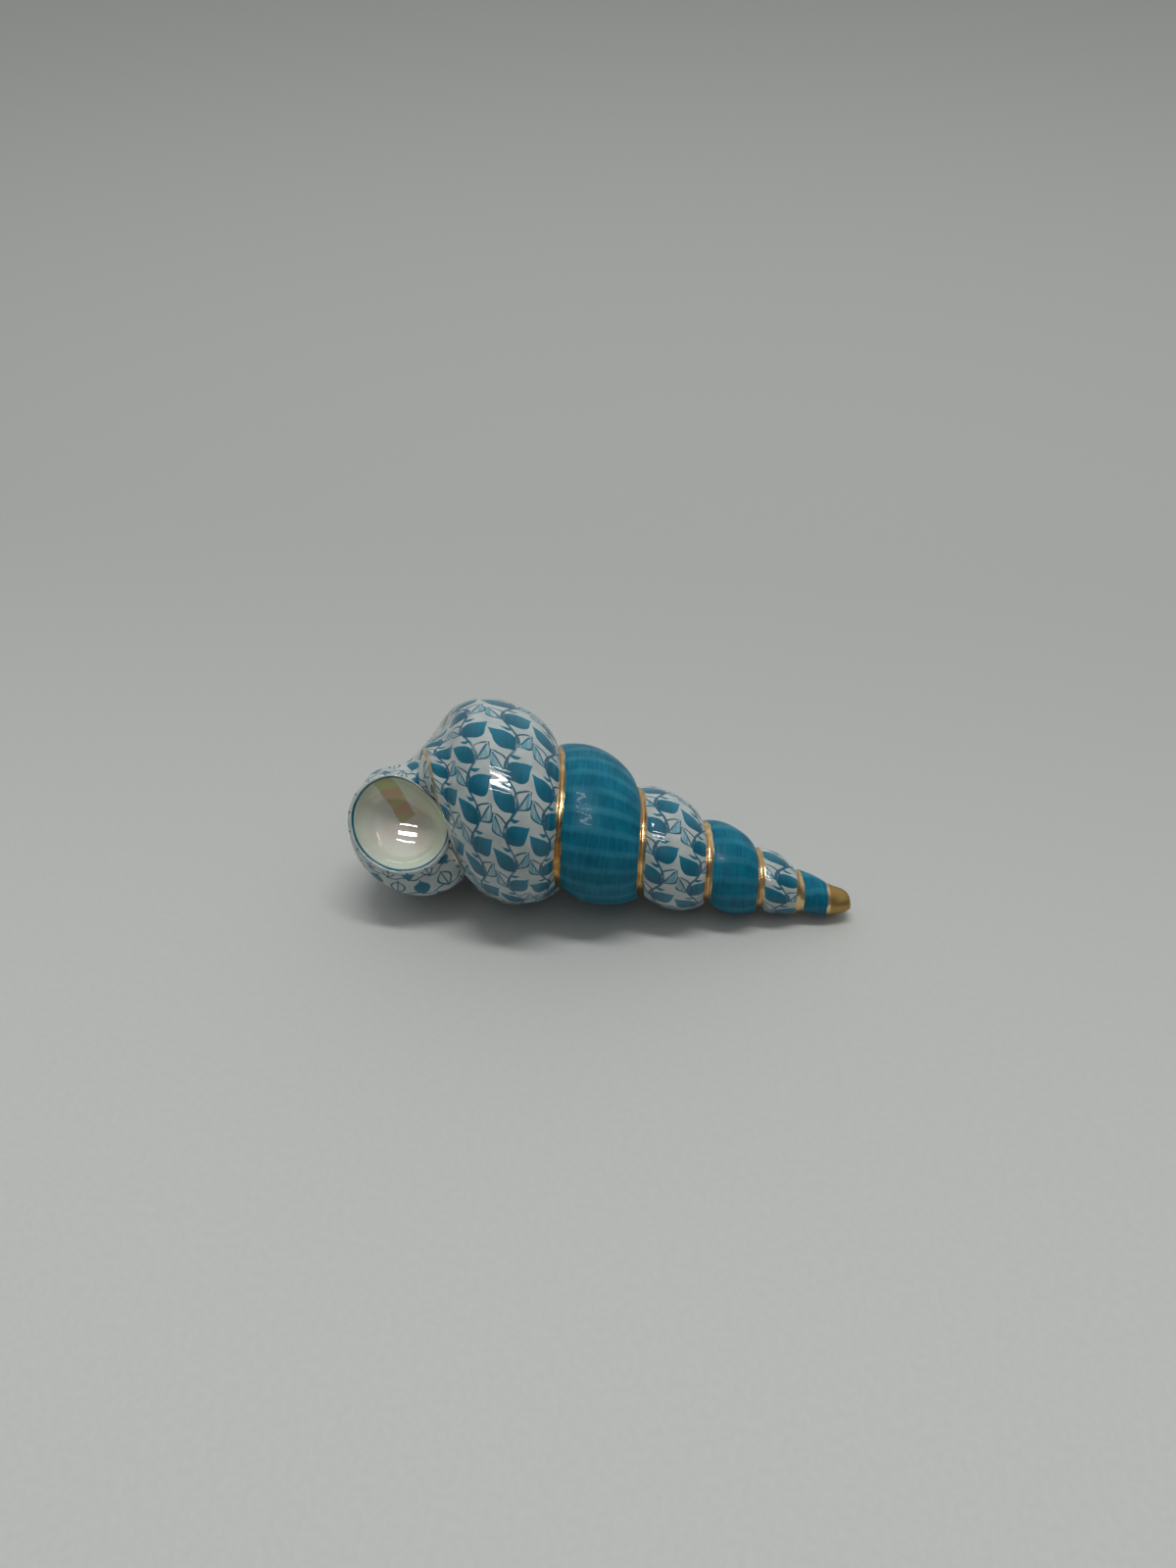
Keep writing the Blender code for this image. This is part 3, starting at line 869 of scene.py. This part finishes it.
# %% Group: collar border
BORDER_ROW = 3.1            # mm from row to row
BORDER_START = 1.2          # mm behind the lip's inner edge
BORDER_LEAF = {"Base X": 0.0, "Base Y": 0.3, "Angle": 0.0, "Length": 2.7, "Width": 2.1}
BORDER_OUTLINE, BORDER_VEIN = (0.10, 0.26), (0.04, 0.19)     # mm from the line's middle
GARLAND_LINE = (0.06, 0.22)
GARLAND_SWAY, GARLAND_BACK = 0.30, 0.40      # mm, its waves and how far before the row's end

border, border_in, border_out = new_group("collar border", ["Round", "Depth"], ["Line", "Leaf"])
rows_behind = maths(border, "DIVIDE", minus(border, border_in["Depth"], BORDER_START), BORDER_ROW)
row_number = maths(border, "FLOOR", rows_behind)
row_y = times(border, maths(border, "FRACT", rows_behind), BORDER_ROW)
shifted = maths(border, "MULTIPLY_ADD", row_number, 0.5, border_in["Round"])
row_x = times(border, minus(border, maths(border, "FRACT", shifted), 0.5), COLLAR_SPACING)
border_leaf = use_group(border, leaf, X=row_x, Y=row_y, **BORDER_LEAF)
every_second = maths(border, "FLOORED_MODULO", maths(border, "FLOOR", shifted), 2.0)
filled = times(border, between(border, border_leaf["Edge"], EDGE_SOFT, 0.0), every_second)
leaf_line = brush_line(border, border_leaf["Edge"], BORDER_OUTLINE)
leaf_vein = brush_line(border, row_x, BORDER_VEIN)
sway = maths(border, "SINE", times(border, shifted, 2 * math.pi))
garland_y = maths(border, "MULTIPLY_ADD", sway, GARLAND_SWAY, BORDER_ROW - GARLAND_BACK)
garland = brush_line(border, minus(border, row_y, garland_y), GARLAND_LINE)
inside = between(border, rows_behind, -0.02, 0.0)
lines = maths(border, "MAXIMUM", maths(border, "MAXIMUM", leaf_line, leaf_vein), garland)
feed(border, border_out["Line"], times(border, lines, inside))
feed(border, border_out["Leaf"], times(border, filled, inside))
print("group", border.name)

# %% [markdown]
# The painted glaze is one material, because paint, gold and white all lie under
# or on one glassy skin. Its masks choose the layer at each spot: white ground,
# vine or border, turquoise wash on every second turn, and gold last of all.
# Separate materials on separate faces would give the gold a stepped edge. It
# starts by reading the guides, and two noises that make a hand's line waver.

# %% Painted glaze: guides and waver
WAVER_SCALE, WAVER_DETAIL = 330.0, 1.5

glaze, tree, shader, here = new_finish("painted glaze")
turn_now = guide(tree, "turn")
vine_now = guide(tree, "vine")
depth_now = guide(tree, "collar_depth")
waver = noise_at(tree, here, WAVER_SCALE, WAVER_DETAIL)
waver_two = noise_at(tree, moved(tree, here, (0.3, 0.1, 0.2)), WAVER_SCALE, WAVER_DETAIL)
aside = minus(tree, waver, 0.5)
brush = use_group(tree, streaks, Along=times(tree, vine_now, 3.0), Across=guide(tree, "across_mm"))
print("the glaze reads the turn, vine, collar_depth and across_mm guides")

# %% [markdown]
# The slim turns have room for one column of vine, the middle ones for two and
# the widest for four. The mouth tube is wound another way, so beyond the gold
# line at its back the border takes the vine's place.

# %% Painted glaze: where the vine and the border are
TWO_COLUMNS_FROM, FOUR_COLUMNS_FROM = 4.1, 6.1       # turns
HAND_WAVER = 0.05           # columns or waves that a painted line wanders

columns = plus(tree, maths(tree, "GREATER_THAN", turn_now, TWO_COLUMNS_FROM),
               times(tree, maths(tree, "GREATER_THAN", turn_now, FOUR_COLUMNS_FROM), 2.0))
columns = plus(tree, columns, 1.0)
column_now = plus(tree, times(tree, guide(tree, "across"), columns), times(tree, aside, HAND_WAVER * 2))
wave_now = plus(tree, vine_now, times(tree, minus(tree, waver_two, 0.5), HAND_WAVER))
painted = use_group(tree, vines, Column=column_now, Wave=wave_now)
collar = use_group(tree, border, Round=guide(tree, "collar_round"),
                   Depth=plus(tree, depth_now, times(tree, waver, 0.5)))
on_collar = maths(tree, "GREATER_THAN", turn_now, RING_TURN)
off_collar = minus(tree, 1.0, on_collar)


def choose(vine_value, collar_value):
    """The vine's value on the turns and the border's on the collar."""
    return plus(tree, times(tree, vine_value, off_collar), times(tree, collar_value, on_collar))


print("columns of vine from", TWO_COLUMNS_FROM, "and", FOUR_COLUMNS_FROM, "turns")

# %% [markdown]
# White porcelain is never one flat white: the glaze pools a little grey. The
# leaves are darker where the brush was full, the lines are thinner in places,
# and half of each outlined leaf has a thin tint.

# %% Painted glaze: the white ground and its paint
WHITE = (0.50, 0.54, 0.53, 1.0)
WHITE_SHADE = (0.40, 0.455, 0.455, 1.0)
PAINT_DEEP = (0.001, 0.100, 0.165, 1.0)
PAINT_LEAF = (0.008, 0.190, 0.290, 1.0)
PAINT_TINT = (0.100, 0.320, 0.400, 1.0)
LINE_COLOUR = (0.003, 0.100, 0.170, 1.0)

streak = choose(brush["Streak"], waver)
pooled = between(tree, choose(brush["Pool"], waver_two), 0.35, 0.70)
ground = blend_colour(tree, pooled, WHITE, WHITE_SHADE)
tint = times(tree, choose(painted["Tint"], 0.0), between(tree, streak, 0.30, 0.62))
colour = blend_colour(tree, tint, ground, PAINT_TINT)
thin = maths(tree, "MULTIPLY_ADD", between(tree, waver, 0.30, 0.45), 0.35, 0.6)
line_mask = times(tree, choose(painted["Line"], collar["Line"]), thin)
colour = blend_colour(tree, line_mask, colour, LINE_COLOUR)
leaf_tone = plus(tree, times(tree, streak, 0.55), times(tree, choose(painted["Shade"], 0.5), 0.60))
leaf_colour = blend_colour(tree, between(tree, leaf_tone, 0.30, 0.95), PAINT_DEEP, PAINT_LEAF)
colour = blend_colour(tree, choose(painted["Leaf"], collar["Leaf"]), colour, leaf_colour)
print("white", WHITE[:3], "leaf", PAINT_LEAF[:3])

# %% [markdown]
# Every second turn is washed with solid turquoise. The wash is streaked along
# the brush. It is painted paler on the crest of each shallow rib: a painted
# highlight where the crest catches the light, and the paint running thin there.

# %% Painted glaze: the turquoise wash
PAINT_MID = (0.003, 0.175, 0.275, 1.0)
PAINT_PALE = (0.055, 0.290, 0.390, 1.0)
RIB_PALENESS = 0.58

rib_wave = maths(tree, "COSINE", times(tree, guide(tree, "ribs"), 2 * math.pi))
rib_line = between(tree, rib_wave, -0.10, 1.0)
wash_tone = plus(tree, times(tree, streak, 0.65), times(tree, brush["Pool"], 0.40))
wash = blend_colour(tree, between(tree, wash_tone, 0.34, 0.72), PAINT_DEEP, PAINT_MID)
# Painted highlight on each rib crest, with the paint there running thin.
rib_highlight_mask = times(tree, rib_line, times(tree, brush["Pool"], RIB_PALENESS))
wash = blend_colour(tree, rib_highlight_mask, wash, PAINT_PALE)
painted_turn = maths(tree, "FLOORED_MODULO", minus(tree, turn_now, CHANGE), 2.0)
solid_turn = times(tree, maths(tree, "GREATER_THAN", painted_turn, 1.0), off_collar)
colour = blend_colour(tree, solid_turn, colour, wash)
print("the paint changes at", CHANGE, "of every turn")

# %% [markdown]
# A turquoise line edges the lip. Gold is painted last, over the fired glaze: a
# line on each seam, drawn with a finer brush near the tip, and the whole tip.
# The gold guide gives the distance to a seam, and noise lets the edge wander.

# %% Painted glaze: rim line and gold
RIM_COLOUR = (0.006, 0.110, 0.170, 1.0)
RIM_DEPTH = 0.30            # mm from the lip's inner edge
RIM_LINE = (0.30, 0.44)     # mm from the line's middle: full paint, no paint
GOLD = (0.80, 0.58, 0.31, 1.0)
GOLD_WORN = (0.52, 0.34, 0.17, 1.0)
GOLD_AT_TIP = (0.405, 0.262, 0.090, 1.0)
GOLD_HALF = 0.95            # mm, half the width of a gold line on the wide turns
GOLD_HALF_FINE = 0.62       # mm, the same near the tip
GOLD_WIDENS = (2.2, 3.4)    # turns, from the finest line to the widest
GOLD_EDGE = 0.04            # mm, how soft its edge is
GOLD_WAVER = 0.90           # mm, how much its edge wanders
GOLD_TIP_TURN = 1.46        # the tip is gold up to here
TIP_TONE_ENDS = (2.05, 1.95)         # turns, the gold is darker and duller before this

rim_middle = maths(tree, "MULTIPLY_ADD", aside, 0.5, RIM_DEPTH)
rim = brush_line(tree, minus(tree, depth_now, rim_middle), RIM_LINE)
colour = blend_colour(tree, rim, colour, RIM_COLOUR)
gold_half = maths(tree, "MULTIPLY_ADD", between(tree, turn_now, *GOLD_WIDENS),
                  GOLD_HALF - GOLD_HALF_FINE, GOLD_HALF_FINE)
wandering = maths(tree, "MULTIPLY_ADD", aside, GOLD_WAVER, guide(tree, "gold_gap"))
gold_line = between(tree, minus(tree, wandering, gold_half), GOLD_EDGE, 0.0)
gold_tip = maths(tree, "LESS_THAN", turn_now, GOLD_TIP_TURN)
gold_mask = maths(tree, "MAXIMUM", gold_line, gold_tip)
near_tip = between(tree, turn_now, *TIP_TONE_ENDS)
gold_tone = blend_colour(tree, between(tree, waver_two, 0.35, 0.65), GOLD, GOLD_WORN)
gold_tone = blend_colour(tree, near_tip, gold_tone, GOLD_AT_TIP)
colour = blend_colour(tree, gold_mask, colour, gold_tone)
print("gold lines", 2 * GOLD_HALF, "mm wide, and", 2 * GOLD_HALF_FINE, "mm near the tip")

# %% [markdown]
# The clear glaze is the shader's coat: full over the white, weak over the
# washes, which are duller on the real piece, and none over the gold, which is
# fired on top and is a metal itself. A rough body under a smooth coat gives
# small sharp lights on a soft sheen. A single low roughness would only give
# the sharp ones.

# %% Painted glaze: gloss
GLAZE_ROUGH, BODY_ROUGH, GOLD_ROUGH, TIP_GOLD_ROUGH = 0.025, 0.36, 0.19, 0.34
WASH_GLOSS = 0.10           # how much clear glaze shows over the solid turns
GLAZE_SKIN = 0.10

rough = maths(tree, "MULTIPLY_ADD", gold_mask, GOLD_ROUGH - BODY_ROUGH, BODY_ROUGH)
tip_rough = times(tree, times(tree, near_tip, gold_mask), TIP_GOLD_ROUGH)
gloss = maths(tree, "MULTIPLY_ADD", solid_turn, WASH_GLOSS - 1.0, 1.0)
set_shader(tree, shader, {
    "Base Color": colour,
    "Metallic": gold_mask,
    "Roughness": maths(tree, "MAXIMUM", rough, tip_rough),
    "Coat Weight": times(tree, gloss, minus(tree, 1.0, gold_mask)),
    "Coat Roughness": GLAZE_ROUGH,
    "Coat IOR": 1.36,
    "Specular IOR Level": 0.10,
    "IOR": 1.5,
    "Normal": use_group(tree, skin, Strength=GLAZE_SKIN)["Normal"]})
print("material", glaze.name)

# %% [markdown]
# The mouth is lined with mother-of-pearl lustre: a very thin metallic film,
# fired on over the white. A band from the rim to the middle is painted olive
# and pink, a painted reflection of the room in the glossy bowl. The shader's
# own Thin Film adds the play of colour in the highlights.

# %% Pearl lustre: the band of painted reflection
BAND_START = (-4.8, -4.6)   # mm towards the tip and down from the bowl's middle
BAND_ALONG = (0.77, 0.64)   # which way the band of painted reflection runs
BAND_LENGTH = 6.9           # mm
BAND_EDGES = (1.8, 2.1)     # mm from the band's middle: full painted reflection, none
BAND_WAVER = 0.9            # mm
REFLECTION_NOISE_SCALE, FILM_TWO_SCALE = 260.0, 190.0

pearl, tree, shader, here = new_finish("pearl lustre")
reflection_noise = noise_at(tree, here, REFLECTION_NOISE_SCALE, 1.5)
film_two = noise_at(tree, moved(tree, here, (0.5, 0.2, 0.7)), FILM_TWO_SCALE, 1.0)
part = times(tree, guide(tree, "collar_round"), 2 * math.pi / collar_count)
out_from_middle = plus(tree, guide(tree, "collar_depth"), MOUTH_OPENING)
right_mm, down_mm = [minus(tree, times(tree, out_from_middle, maths(tree, turned, part)), start)
                     for turned, start in zip(("COSINE", "SINE"), BAND_START)]
along = plus(tree, times(tree, right_mm, BAND_ALONG[0]), times(tree, down_mm, BAND_ALONG[1]))
aside = minus(tree, times(tree, right_mm, BAND_ALONG[1]), times(tree, down_mm, BAND_ALONG[0]))
aside = plus(tree, aside, times(tree, minus(tree, reflection_noise, 0.5), BAND_WAVER))
band_end = between(tree, along, BAND_LENGTH + 0.4, BAND_LENGTH - 0.5)
band = times(tree, brush_line(tree, aside, BAND_EDGES), band_end)
print("band", BAND_LENGTH, "mm long")

# %% [markdown]
# A sine wave along the band carries its painted reflection from pink to olive
# and back. Towards one side the whole bowl is a little warmer: painted
# reflection as well.

# %% Pearl lustre: its colours
PEARL = (0.665, 0.685, 0.625, 1.0)
REFLECTED_OLIVE = (0.50, 0.49, 0.23, 1.0)
# Pink for the painted reflection band and for the lustre's own pink patches.
PEARL_PINK = (0.58, 0.37, 0.25, 1.0)
REFLECTED_WARM = (0.67, 0.67, 0.60, 1.0)
REFLECTION_RATE, REFLECTION_UNEVEN = 1.25, 9.0   # how fast the painted reflection's colours change along the band, and how unevenly

# Painted reflection: olive and pink along the band.
reflection_phase = maths(tree, "MULTIPLY_ADD", reflection_noise, REFLECTION_UNEVEN, times(tree, along, REFLECTION_RATE))
reflection_wave = maths(tree, "SINE", reflection_phase)
painted_reflection_colour = blend_colour(tree, between(tree, reflection_wave, -0.6, 0.7), PEARL_PINK, REFLECTED_OLIVE)
# Painted reflection: one side of the bowl a little warmer.
colour = blend_colour(tree, between(tree, aside, 0.5, 4.5), PEARL, REFLECTED_WARM)
tint = times(tree, between(tree, film_two, 0.45, 0.75), 0.30)
colour = blend_colour(tree, tint, colour, PEARL_PINK)
colour = blend_colour(tree, times(tree, band, 0.96), colour, painted_reflection_colour)
set_shader(tree, shader, {
    "Base Color": colour,
    "Metallic": 0.08,
    "Roughness": 0.035,
    "Thin Film Thickness": 445.0,    # nanometres
    "Thin Film IOR": 1.70,
    "Normal": use_group(tree, skin, Strength=0.12)["Normal"]})
print("material", pearl.name)

# %% [markdown]
# Where the feet were ground the porcelain shows bare. Unglazed porcelain, called
# biscuit, is white, dull and very finely grained.

# %% Material: bare biscuit
BISCUIT, BISCUIT_SHADE = (0.66, 0.63, 0.57, 1.0), (0.56, 0.52, 0.46, 1.0)
GRAIN_SCALE, GRAIN_HEIGHT = 5200.0, 0.0001   # waves in a metre, and m

biscuit, tree, shader, here = new_finish("bare biscuit")
patches = between(tree, noise_at(tree, here, 420.0), 0.35, 0.65)
bump = node(tree, "Bump", 0.4, GRAIN_HEIGHT)
feed(tree, bump.inputs["Height"], noise_at(tree, here, GRAIN_SCALE, 3.0))
set_shader(tree, shader, {
    "Base Color": blend_colour(tree, patches, BISCUIT, BISCUIT_SHADE),
    "Roughness": 0.75,
    "Normal": bump.outputs["Normal"]})
print("material", biscuit.name)

# %% [markdown]
# The shell is one mesh with three finishes. The faces of the bowl have a depth
# behind the lip of zero or less, which tells them from the painted ones, and
# the ground faces of the feet are known already.

# %% Give each face its material
INSIDE_LIP = 1e-4           # mm
for finish in (glaze, pearl, biscuit):
    shell.data.materials.append(finish)
depths_held = read_all(shell.data.attributes["collar_depth"].data, "value", np.float32)
face_starts = read_all(shell.data.polygons, "loop_start", int)
slots = np.where(np.maximum.reduceat(depths_held, face_starts) < INSIDE_LIP, 1, 0)
slots[foot_faces] = 2
shell.data.polygons.foreach_set("material_index", slots)
print("faces of glaze, pearl, biscuit", [int((slots == k).sum()) for k in range(3)])

# %% [markdown]
# The floor is a plain pale sheet, large enough to fill the picture. It is
# painted a little darker behind the shell than in front of it: painted shade.
# A second lamp could do that, but it would change the light on the shell too,
# so it is in the colour.

# %% Floor
FLOOR_SIZE = 4.0            # m
PAPER, PAPER_FLECK = (0.575, 0.585, 0.570, 1.0), (0.595, 0.605, 0.590, 1.0)
PAPER_PAINTED_SHADE = (0.440, 0.447, 0.435, 1.0)
BACK_FROM, BACK_TO = -0.12, 0.14     # m, where the painted shade begins and where it is full

deselected()
bpy.ops.mesh.primitive_plane_add(size=FLOOR_SIZE)
floor = bpy.context.object
floor.name = floor.data.name = "floor"
paper, tree, shader, here = new_finish("pale floor")
flecks = between(tree, noise_at(tree, here, 900.0, 3.0), 0.3, 0.7)
# Painted shade: the floor colour darkens behind the shell.
painted_shade_behind = between(tree, node(tree, "SeparateXYZ", here).outputs["Y"], BACK_FROM, BACK_TO)
front = blend_colour(tree, flecks, PAPER, PAPER_FLECK)
set_shader(tree, shader, {
    "Base Color": blend_colour(tree, painted_shade_behind, front, PAPER_PAINTED_SHADE),
    "Roughness": 0.60,
    "Specular IOR Level": 0.15})
floor.data.materials.append(paper)
print("floor", FLOOR_SIZE, "m")

# %% [markdown]
# One soft lamp overhead and a little behind lights the shell, so that the
# shadow falls towards the camera. It is hidden from reflections. Four thin
# strips do the opposite: they light nothing, and only show in the glaze and the
# pearl as short bright stripes. One lamp could not be soft and give sharp
# stripes at once.

# %% Lights
MIDDLE = (0.0, 0.0, 0.02)   # m, what the lamps face
SOFT_PLACE, SOFT_SIZE, SOFT_WATTS = (0.03, 0.11, 0.95), (0.60, 0.09), 3.75    # m, m, watts
STRIP_DISTANCE = 1.2        # m
STRIP_WIDTH, STRIP_SIDE = 0.62, -0.05        # m
STRIP_GLOW = 80.0           # watts for each metre of height
STRIPS = ((79.0, 0.030), (67.5, 0.032), (64.0, 0.040), (52.5, 0.026))    # degrees up, m tall


def area_light(name, place, size, watts):
    """A rectangular light at place, in metres, that faces the middle, its width level along X."""
    lamp = bpy.data.lights.new(name, "AREA")
    lamp.shape = "RECTANGLE"
    lamp.size, lamp.size_y = size
    lamp.energy = watts
    holder = bpy.data.objects.new(name, lamp)
    bpy.context.scene.collection.objects.link(holder)
    away = (Vector(place) - Vector(MIDDLE)).normalized()
    across = (Vector((1.0, 0.0, 0.0)) - away * away.x).normalized()
    turned = Matrix((across, away.cross(across), away)).transposed()
    holder.matrix_world = Matrix.Translation(place) @ turned.to_4x4()
    return holder


soft = area_light("soft overhead", SOFT_PLACE, SOFT_SIZE, SOFT_WATTS)
soft.data.color = (1.0, 1.0, 0.99)
soft.visible_glossy = False
for number, (rise_angle, tall) in enumerate(STRIPS):
    height = STRIP_DISTANCE * math.sin(math.radians(rise_angle))
    out = STRIP_DISTANCE * math.cos(math.radians(rise_angle))
    strip = area_light(f"strip {number + 1}", (STRIP_SIDE, -out, height), (STRIP_WIDTH, tall),
                       STRIP_GLOW * tall)
    strip.visible_diffuse = False
print("one soft light and", len(STRIPS), "strips")

# %% [markdown]
# The room itself is dim and grey, and brighter high up behind the shell. It
# fills the shadows and gives the gold something to mirror: in an evenly lit
# room polished metal looks flat.

# %% Room
ROOM_DARK, ROOM_BRIGHT = 0.165, 0.66
BRIGHT_SIDE = (0.0, 0.60, 0.80)
BRIGHT_FROM, BRIGHT_TO = 0.15, 0.95  # how squarely a direction meets the bright side
ROOM_COLOUR = (0.97, 1.0, 0.985, 1.0)

world = bpy.context.scene.world or bpy.data.worlds.new("room")
bpy.context.scene.world = world
world.use_nodes = True
room_tree = world.node_tree
room = room_tree.nodes.get("Background") or room_tree.nodes.new("ShaderNodeBackground")
direction = node(room_tree, "TexCoord").outputs["Generated"]
towards = node(room_tree, "VectorMath", direction, BRIGHT_SIDE, operation="DOT_PRODUCT").outputs["Value"]
glow = between(room_tree, towards, BRIGHT_FROM, BRIGHT_TO)
feed(room_tree, room.inputs["Strength"],
     maths(room_tree, "MULTIPLY_ADD", glow, ROOM_BRIGHT - ROOM_DARK, ROOM_DARK))
room.inputs["Color"].default_value = ROOM_COLOUR
print("room from", ROOM_DARK, "to", ROOM_BRIGHT)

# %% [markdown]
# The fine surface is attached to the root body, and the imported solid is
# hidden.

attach(shell, "root")
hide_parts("shell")
